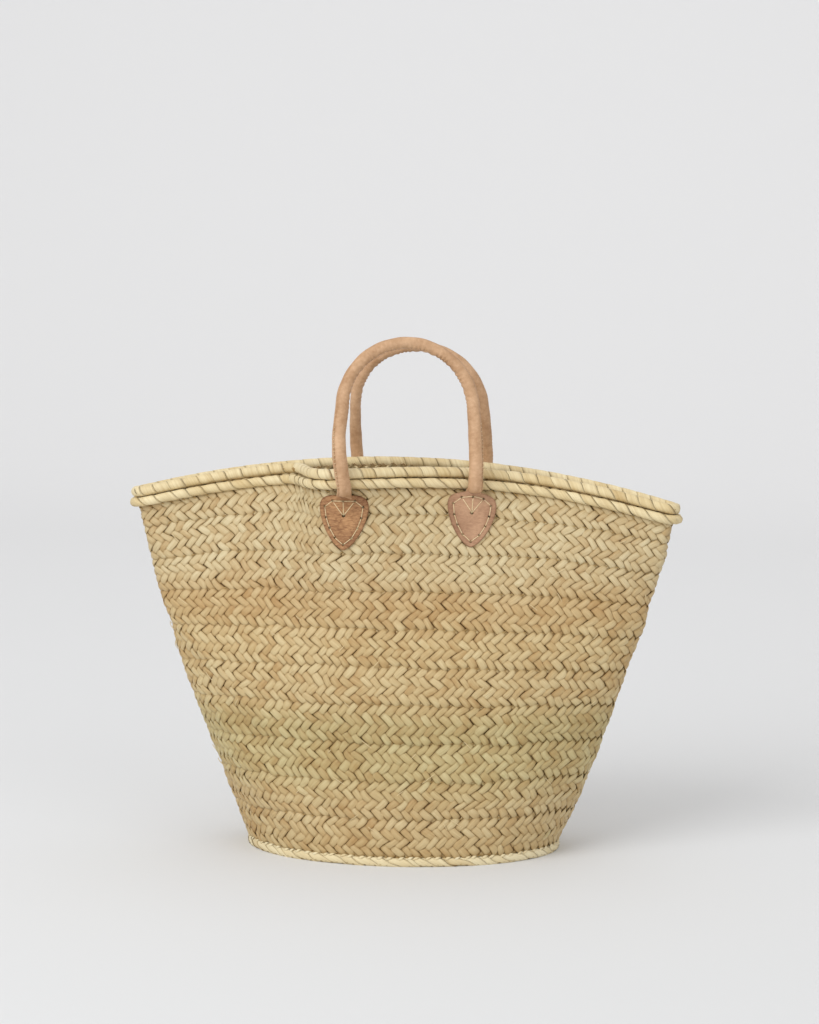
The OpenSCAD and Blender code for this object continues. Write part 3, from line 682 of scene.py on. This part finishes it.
def shield(inset, steps=96):
    """Outline of a patch: a rounded flat top over a rounded point."""
    a = np.linspace(0, 2 * np.pi, steps, endpoint=False)
    top = np.sin(a) >= 0
    power = np.where(top, 0.66, 1.3)
    height = np.where(top, patch_brow, patch_h - patch_brow)
    return np.stack([(patch_w / 2 - inset) * np.sign(np.cos(a)) * np.abs(np.cos(a)) ** power,
                     (height - inset) * np.sign(np.sin(a)) * np.abs(np.sin(a)) ** power - patch_brow], -1)


def sewing_holes():
    """Twelve holes at even steps inside the edge, from the middle of the top, and one in the middle."""
    line = shield(hole_inset, 360)
    line = np.vstack([line, line[:1]])
    length = run_length(line)
    at = (length[90] + length[-1] * np.arange(12) / 12) % length[-1]
    return np.stack([np.interp(at, length, line[:, k]) for k in (0, 1)], -1), np.array([0.0, -20.0])


def patch_surface(u, v):
    """Height of the leather's underside over the patch's own plane, at places across and up it in mm."""
    origin, across, up, out = patch_axes(u, v)
    uu, vv = np.meshgrid(np.linspace(u - 8, u + 8, 33), np.linspace(v - 0.19, v + 0.01, 33))
    local = wall(uu, vv) + lumpy(uu, vv)[..., None] * facing(uu, vv) - origin
    x, y, z = (local @ across).ravel(), (local @ up).ravel(), (local @ out).ravel()
    near = (np.abs(x) < 32) & (y > -70) & (y < 3)
    x, y, z = x[near] / 30, y[near] / 60, z[near]
    terms = [(i, j) for i in range(5) for j in range(5 - i)]
    fit = np.linalg.lstsq(np.stack([x ** i * y ** j for i, j in terms], -1), z, rcond=None)[0]
    return lambda px, py: sum(c * (px / 30) ** i * (py / 60) ** j for c, (i, j) in zip(fit, terms)) + 2.0


def over_leg(x, y):
    """How far the top of a patch stands out over the end of the leg, in mm."""
    return 7.6 * np.exp(-(x / 8.6) ** 2 - (np.minimum(y + patch_drop, 0) / 6.5) ** 2)


def over_tongue(x, y):
    """How far a patch stands out over the flat end of the leather below that, in mm."""
    return 2.4 * np.exp(-(x / 12) ** 2) / (1 + np.exp(-(y + patch_drop + 18) / 3.0))


def solid_mesh(name, points, faces, material, attributes):
    """A smooth closed mesh object from points in mm, with its own attributes."""
    mesh = bpy.data.meshes.new(name)
    mesh.from_pydata((np.asarray(points) * 0.001).tolist(), [], faces)
    for label, (kind, field, values) in attributes.items():
        attribute = mesh.attributes.new(label, kind, "POINT")
        attribute.data.foreach_set(field, np.asarray(values, np.float32).ravel())
    mesh.polygons.foreach_set("use_smooth", [True] * len(mesh.polygons))
    mesh.materials.append(material)
    made = bpy.data.objects.new(name, mesh)
    bpy.context.scene.collection.objects.link(made)
    work = bmesh.new()
    work.from_mesh(mesh)
    bmesh.ops.recalc_face_normals(work, faces=work.faces)
    work.to_mesh(mesh)
    work.free()
    return made


patch_brown = leather("patch_leather_brown", "#ba8c60", "#734829", grain=1.0, crease=1.3)
patch_rose = leather("patch_leather_rose", "#bd9575", "#835b40", grain=0.9, crease=0.6)
holes, centre_hole = sewing_holes()
for leg, (u, v) in legs.items():
    origin, across, up, out = patch_axes(u, v)
    under = patch_surface(u, v)
    line = shield(0)
    middle = np.array([0.0, -22.0])
    rings = [(t, 1) for t in (0.06, 0.13, 0.2, 0.28, 0.36, 0.44, 0.52, 0.6, 0.68, 0.75, 0.81, 0.86, 0.9,
                              0.94, 0.97, 0.99)]
    rings += [(1.0, 0.82), (1.004, 0.5), (1.0, 0.2), (0.99, 0.0)] + [(t, 0) for t in (0.9, 0.7, 0.4, 0.15)]
    points, worn = [], []
    for t, layer in rings:
        flat = middle + t * (line - middle)
        x, y = flat[:, 0], flat[:, 1] - patch_drop
        from_edge = (1 - min(t, 1)) * np.linalg.norm(line - middle, axis=1)
        bulge = over_tongue(x, y)
        bulge *= np.clip(from_edge / 5, 0, 1) ** 0.5 * 0.7 + 0.3
        bulge += over_leg(x, y)
        pull = 0.45 * np.exp(-((from_edge - 5.0) / 1.3) ** 2)
        dent = 1.1 * np.exp(-((x - centre_hole[0]) ** 2 + (flat[:, 1] - centre_hole[1]) ** 2) / 7)
        ripple = 0.14 * np.sin(x * 0.9 + y * 0.35) * np.sin(y * 1.1 - x * 0.2)
        z = under(x, y) + bulge + layer * patch_t + (layer > 0) * (ripple - pull - dent)
        points.append(origin + x[:, None] * across + y[:, None] * up + z[:, None] * out)
        rubbed = 0.35 * np.exp(-from_edge / 1.6) + 0.25 * np.exp(-((from_edge - hole_inset) / 1.6) ** 2)
        worn.append(np.where(layer == 1, rubbed, 0.5) + 0 * x)
    steps, n = len(rings), len(line)
    poles = [points[0].mean(0), points[-1].mean(0)]
    faces = [(k * n + i, k * n + (i + 1) % n, (k + 1) * n + (i + 1) % n, (k + 1) * n + i)
             for k in range(steps - 1) for i in range(n)]
    faces += [(steps * n, (i + 1) % n, i) for i in range(n)]
    faces += [(steps * n + 1, (steps - 1) * n + i, (steps - 1) * n + (i + 1) % n) for i in range(n)]
    every = np.vstack(points + [np.array(poles)])
    local = every - origin
    run = np.stack([local @ across * 0.8, local @ up * 2.2, 0 * local[:, 0] + u], -1)
    hide = patch_brown if leg in ("front_left", "back_right") else patch_rose
    patch = solid_mesh(f"patch_{leg}", every, faces, hide,
                       {"worn": ("FLOAT", "value", np.concatenate(worn + [[0, 0]])),
                        "run": ("FLOAT_VECTOR", "vector", run)})
    punch = bpy.data.objects.new("punch", bpy.data.meshes.new("punch"))
    bpy.context.scene.collection.objects.link(punch)
    work = bmesh.new()
    for (hx, hy), radius in [(h, 1.2) for h in holes] + [(centre_hole, 1.6)]:
        hy -= patch_drop
        at = origin + hx * across + hy * up + (under(hx, hy) + 1.5) * out
        pin = bmesh.ops.create_cone(work, cap_ends=True, segments=14, radius1=radius * 0.001,
                                    radius2=radius * 0.001, depth=0.014)["verts"]
        turn = Vector(out).to_track_quat("Z", "Y").to_matrix().to_4x4()
        bmesh.ops.transform(work, matrix=turn, verts=pin)
        bmesh.ops.translate(work, vec=Vector(at * 0.001), verts=pin)
    work.to_mesh(punch.data)
    work.free()
    cut = patch.modifiers.new("holes", "BOOLEAN")
    cut.operation, cut.object, cut.solver = "DIFFERENCE", punch, "EXACT"
    keep_result(patch)
    bpy.data.objects.remove(punch)
    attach(patch, "basket")
    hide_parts(f"patch_{leg}")

# Thread. Waxed cream cotton, 0.9 mm thick, runs in straight stitches from hole to hole round each
# patch, and in three stitches that fan from the middle hole to the top.
thread_tree = bpy.data.node_groups.new("threads", "GeometryNodeTree")
for name, kind in (("Lines", "Object"), ("Finish", "Material"), ("Radius", "Float"), ("Sides", "Int")):
    thread_tree.interface.new_socket(name, in_out="INPUT", socket_type="NodeSocket" + kind)
thread_tree.interface.new_socket("Geometry", in_out="OUTPUT", socket_type="NodeSocketGeometry")
given = thread_tree.nodes.new("NodeGroupInput").outputs
lines = add(thread_tree, "GeometryNodeObjectInfo", (given["Lines"],)).outputs["Geometry"]
lines = add(thread_tree, "GeometryNodeMeshToCurve", (lines,)).outputs[0]
circle = add(thread_tree, "GeometryNodeCurvePrimitiveCircle",
             {"Resolution": given["Sides"], "Radius": given["Radius"]}).outputs[0]
scale = add(thread_tree, "GeometryNodeInputNamedAttribute", ("thick",), data_type="FLOAT").outputs[0]
tubes = add(thread_tree, "GeometryNodeCurveToMesh",
            {"Curve": lines, "Profile Curve": circle, "Scale": scale, "Fill Caps": True}).outputs[0]
tubes = add(thread_tree, "GeometryNodeSetShadeSmooth", (tubes,)).outputs[0]
tubes = add(thread_tree, "GeometryNodeRealizeInstances", (tubes,)).outputs[0]
add(thread_tree, "NodeGroupOutput", (add(thread_tree, "GeometryNodeSetMaterial",
                                         {"Geometry": tubes, "Material": given["Finish"]}).outputs[0],))


def threads(name, runs, material, radius, sides=8):
    """Round threads along lists of points in mm, which taper at both ends."""
    mesh = bpy.data.meshes.new(name)
    points, edges, thick = [], [], []
    for run in runs:
        start = len(points)
        points += (np.asarray(run) * 0.001).tolist()
        edges += [(start + k, start + k + 1) for k in range(len(run) - 1)]
        thick += [0.55] + [1.0] * (len(run) - 2) + [0.55]
    mesh.from_pydata(points, edges, [])
    mesh.attributes.new("thick", "FLOAT", "POINT").data.foreach_set("value", thick)
    holder = bpy.data.objects.new(name + "_lines", mesh)
    bpy.context.scene.collection.objects.link(holder)
    made = grow(name, thread_tree, lines=holder, finish=material, radius=radius * 0.001, sides=sides)
    bpy.data.objects.remove(holder)
    return made


cotton, tree, shader = new_material("waxed_thread")
place = add(tree, "ShaderNodeTexCoord").outputs["Object"]
twist = add(tree, "ShaderNodeTexNoise", {"Vector": place, "Scale": 1400.0, "Detail": 2.0}).outputs["Fac"]
colours = add(tree, "ShaderNodeValToRGB", (twist,))
fill_ramp(colours, ((0.3, "#cdb27f"), (0.7, "#efe0b8")))
tree.links.new(colours.outputs[0], shader.inputs["Base Color"])
shader.inputs["Roughness"].default_value = 0.6
shader.inputs["Sheen Weight"].default_value = 0.2
bump = add(tree, "ShaderNodeBump", {"Strength": 0.6, "Distance": 0.0003, "Height": twist})
tree.links.new(bump.outputs[0], shader.inputs["Normal"])
for leg, (u, v) in legs.items():
    origin, across, up, out = patch_axes(u, v)
    under = patch_surface(u, v)
    pairs = [(holes[k], holes[(k + 1) % 12]) for k in range(12)]
    pairs += [(holes[k], centre_hole) for k in (11, 0, 1)]
    runs = []
    for a, b in pairs:
        t = np.linspace(0, 1, 9)[:, None]
        flat = a + t * (b - a)
        x, y = flat[:, 0], flat[:, 1] - patch_drop
        bulge = over_tongue(x, y) + over_leg(x, y)
        dip = 2.4 * np.abs(2 * t[:, 0] - 1) ** 12
        z = under(x, y) + bulge + patch_t - dip - 0.25 * (b is not centre_hole)
        runs.append(origin + x[:, None] * across + y[:, None] * up + z[:, None] * out)
    piece = threads(f"thread_{leg}", runs, cotton, 0.36)
    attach(piece, "basket")
    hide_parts(f"thread_{leg}")

# Loose leaf. Fine frayed fibres of the strips stand a little out of the wall here and there,
# and one wavy strand lies on the wall under the bead, beside the front left patch.
frays = []
for _ in range(90):
    turn, high = dice.uniform(0, 360), dice.uniform(0.03, 0.93)
    slant = dice.choice((-1, 1)) * dice.uniform(0.5, 1.3)
    reach, off = dice.uniform(4, 11), dice.uniform(0.8, 2.6)
    steps = np.linspace(0, 1, 7)
    u, v = turn + slant * reach * steps / 2.6, high + reach * steps / 420
    stand = 1.7 + lumpy(u, v) + off * np.sin(steps * 1.9)
    frays.append(wall(u, v) + stand[:, None] * facing(u, v))
steps = np.linspace(0, 1, 26)
u = 248.5 + 6.0 * steps
v = below(u, 17.5 + 4.0 * steps ** 2 + 0.5 * np.sin(steps * 44))
strand = wall(u, v) + (2.4 + 0.5 * np.cos(steps * 44))[:, None] * facing(u, v)
fibre_r = 0.33
loose = threads("loose_leaf", frays + [strand], palm_edge, fibre_r, sides=6)
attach(loose, "basket")

# Handles. Each is one long piece of soft leather rolled round a rope core and closed with a
# crimped seam; its ends are flattened into tongues that lie on the wall under the patches.
handle_leather = leather("handle_leather", "#cfa985", "#9f754f", grain=0.8, crease=0.7)
rope, tree, shader = new_material("rope_core")
place = add(tree, "ShaderNodeTexCoord").outputs["Object"]
strands = add(tree, "ShaderNodeTexNoise", {"Vector": place, "Scale": 300.0, "Detail": 3.0}).outputs["Fac"]
colours = add(tree, "ShaderNodeValToRGB", (strands,))
fill_ramp(colours, ((0.0, "#b89c70"), (1.0, "#e8dab8")))
tree.links.new(colours.outputs[0], shader.inputs["Base Color"])
shader.inputs["Roughness"].default_value = 0.8


def smooth_line(points, count):
    """A line through points at even steps, with its corners rounded."""
    for _ in range(3):
        cut = np.empty((2 * len(points), points.shape[1]))
        cut[0::2] = np.vstack([points[:1], 0.75 * points[1:] + 0.25 * points[:-1]])
        cut[1::2] = np.vstack([0.25 * points[1:] + 0.75 * points[:-1], points[-1:]])
        apart = np.linalg.norm(np.diff(cut[:, :3], axis=0), axis=1) > 1e-6
        points = cut[np.concatenate([[True], apart])]
    length = run_length(points[:, :3])
    at = np.linspace(0, length[-1], count)
    return np.stack([np.interp(at, length, points[:, k]) for k in range(points.shape[1])], -1), at


for side, ends, lean, bow, thick in (
        ("front", ("front_left", "front_right"), 11.0, (4.5, 1.0), (6.9, 6.8, 6.4, 5.8)),
        ("back", ("back_right", "back_left"), 16.5, (1.5, 1.5), (6.6, 6.0, 5.4, 5.2))):
    feet = [wall(*legs[leg]) + foot_out * outward(*legs[leg]) for leg in ends]
    level = (feet[0][2] + feet[1][2]) / 2
    feet = [np.array([*foot[:2], level]) for foot in feet]
    span = np.linalg.norm(feet[1] - feet[0])
    line_x = unit(feet[1] - feet[0])
    inward = np.array([-line_x[1], line_x[0], 0.0])
    origin, arch_r, tilt = (feet[0] + feet[1]) / 2, span / 2, math.radians(lean)
    upright = np.array([0, math.sin(tilt), math.cos(tilt)])
    bend_end = np.array([arch_r, bend_r * (1 - math.cos(tilt)), leg_up + bend_r * math.sin(tilt)])
    straight = handle_h - arch_r - leg_up - bend_r * tilt
    centre = bend_end + straight * upright - np.array([arch_r, 0, 0])
    leg_line = [(arch_r, 0, z) for z in (9, 15, 20)]
    leg_line += [(arch_r, bend_r * (1 - math.cos(a)), leg_up + bend_r * math.sin(a))
                 for a in np.linspace(0, tilt, 4)[1:]]
    leg_line += [tuple(bend_end + straight * upright * t) for t in (0.33, 0.66)]
    leg_line = np.array(leg_line)
    arch_angles = np.linspace(0, np.pi, 25)
    arch = np.array([centre + arch_r * (np.array([math.cos(a), 0, 0]) + math.sin(a) * upright)
                     for a in arch_angles])
    tail = leg_line[::-1] * np.array([-1, 1, 1])
    for part, amount in ((leg_line, bow[1]), (tail, -bow[0])):
        part[:, 0] += amount * np.sin(np.pi * np.clip((part[:, 2] - 4) / 75, 0, 1))
    body_line = np.vstack([leg_line, arch, tail])
    body_line = origin + body_line[:, :1] * line_x + body_line[:, 1:2] * inward \
        + body_line[:, 2:] * np.array([0, 0, 1.0])
    lift_way = inward * math.sin(tilt) + np.array([0, 0, math.cos(tilt)])
    outer_way = [line_x] * len(leg_line)
    outer_way += [math.cos(a) * line_x + math.sin(a) * lift_way for a in arch_angles]
    outer_way += [-line_x] * len(tail)
    size = np.interp(body_line[:, 2] - feet[0][2], [0, 30, 75, 120], thick)
    rows = [np.concatenate([p, [s, s], d]) for p, s, d in zip(body_line, size, outer_way)]
    ends_rows = []
    for foot, leg, outer_side in ((feet[1], ends[1], line_x), (feet[0], ends[0], -line_x)):
        o, across, up, out = patch_axes(*legs[leg])
        sign = 1 if across @ outer_side > 0 else -1
        base = patch_surface(*legs[leg])
        local = foot - o
        fx, side_way = local @ across, sign * across
        place = [(foot + np.array([0, 0, 3.0]), 6.9, 6.0, outer_side),
                 (foot - 0.06 * (foot - o) + np.array([0, 0, -1.5]), 7.0, 4.6, outer_side),
                 (o + 0.8 * fx * across - (patch_drop - 2.2) * up + 11.5 * out, 7.1, 2.9, side_way),
                 (o + 0.3 * fx * across - (patch_drop + 1.5) * up + 7.6 * out, 7.3, 1.8, side_way),
                 *((o - (patch_drop + d) * up + (base(0, -patch_drop - d) + stand) * out, a, b, side_way)
                   for d, stand, a, b in ((6, 1.6, 8.0, 1.0), (11, 0.9, 8.6, 0.8), (17, 0.8, 8.4, 0.6)))]
        ends_rows.append([np.concatenate([p, [a, b], d]) for p, a, b, d in place])
    rows = np.array(ends_rows[0][::-1] + rows + ends_rows[1])
    line, at = smooth_line(rows, 560)
    centre_line, half_w, half_t, cross_way = line[:, :3], line[:, 3], line[:, 4], line[:, 5:]
    tangent = unit(np.gradient(centre_line, axis=0))
    cross_way = unit(cross_way - (cross_way * tangent).sum(1)[:, None] * tangent)
    depth_way = unit(np.cross(tangent, cross_way))
    over_arch = np.clip((centre_line[:, 2] - (feet[0][2] + 60)) / 40, 0, 1)
    front_sign = -1 if (depth_way[len(at) // 2] @ inward) > 0 else 1
    seam_at = math.atan2(front_sign * 0.55, 0.84)
    around = 32
    angle = np.linspace(0, 2 * np.pi, around, endpoint=False)
    total = at[-1]
    near_end = np.minimum(at, total - at)
    seam_on = np.clip((near_end - 14) / 8, 0, 1) * np.clip((120 - near_end) / 50, 0.25, 1)
    points, worn, run = [], [], []
    for i in range(len(at)):
        off = (angle - seam_at + np.pi) % (2 * np.pi) - np.pi
        groove = -0.75 * np.exp(-(off / 0.10) ** 2) + 0.35 * np.exp(-((np.abs(off) - 0.24) / 0.12) ** 2)
        crimp = 0.22 * np.sin(2 * np.pi * at[i] / 3.3) * np.exp(-(off / 0.42) ** 2)
        folds = np.sin(at[i] * 1.15 + 2.2 * np.sin(at[i] * 0.23) + 1.5 * np.sin(angle * 2))
        wrinkle = 0.24 * folds * np.clip(-np.cos(angle), 0, 1) * over_arch[i] * 1.6
        soft = 0.14 * np.sin(at[i] * 0.11 + 2 * angle) + 0.12 * np.sin(at[i] * 0.31 + angle * 3)
        grow_by = (groove + crimp) * seam_on[i] + wrinkle + soft
        flatness = half_t[i] / half_w[i]
        points.append(centre_line[i] + ((half_w[i] + grow_by) * np.cos(angle))[:, None] * cross_way[i]
                      + ((half_t[i] + grow_by * flatness) * np.sin(angle))[:, None] * depth_way[i])
        worn.append(0.55 * np.exp(-(off / 0.09) ** 2) * seam_on[i]
                    + 0.3 * np.clip((16 - near_end[i]) / 16, 0, 1))
        run.append(np.stack([0 * angle + at[i], angle * 4, 0 * angle + (3 if side == "front" else 9)], -1))
    n = len(at)
    faces = [(i * around + j, i * around + (j + 1) % around,
              (i + 1) * around + (j + 1) % around, (i + 1) * around + j)
             for i in range(n - 1) for j in range(around)]
    faces += [tuple(range(around)), tuple((n - 1) * around + j for j in reversed(range(around)))]
    cover = solid_mesh(f"handle_{side}_cover", np.vstack(points), faces, handle_leather,
                       {"worn": ("FLOAT", "value", np.concatenate(worn)),
                        "run": ("FLOAT_VECTOR", "vector", np.vstack(run))})
    high = 0.001 * (origin + np.array([0, 0, 14.0]))
    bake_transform(cover)
    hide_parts(f"handle_{side}_cover")
    for leg in ends:
        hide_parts(f"tongue_{leg}")
    inside = near_end > 34
    core_line = centre_line[inside][::6]
    core = threads(f"handle_{side}_core", [core_line], rope, 4.0, sides=12)
    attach(core, f"{side}_handle")
    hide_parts(f"handle_{side}_core")
    runs = []
    for i in range(len(at)):
        if 36 < near_end[i] < 92 and i % 5 == 0 and i + 3 < n:
            piece = []
            for j, swing, lift in ((i, -0.16, -0.25), (i + 1, -0.06, 0.28), (i + 1, 0.06, 0.28),
                                   (i + 2, 0.16, -0.25)):
                r = half_w[j] + lift
                piece.append(centre_line[j] + r * math.cos(seam_at + swing) * cross_way[j]
                             + r * math.sin(seam_at + swing) * depth_way[j])
            runs.append(piece)
    seam = threads(f"handle_{side}_seam", runs, cotton, 0.22, sides=6)
    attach(seam, f"{side}_handle")
    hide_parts(f"handle_{side}_seam")

# Last, the scene is brought up to date.
bpy.context.view_layer.update()
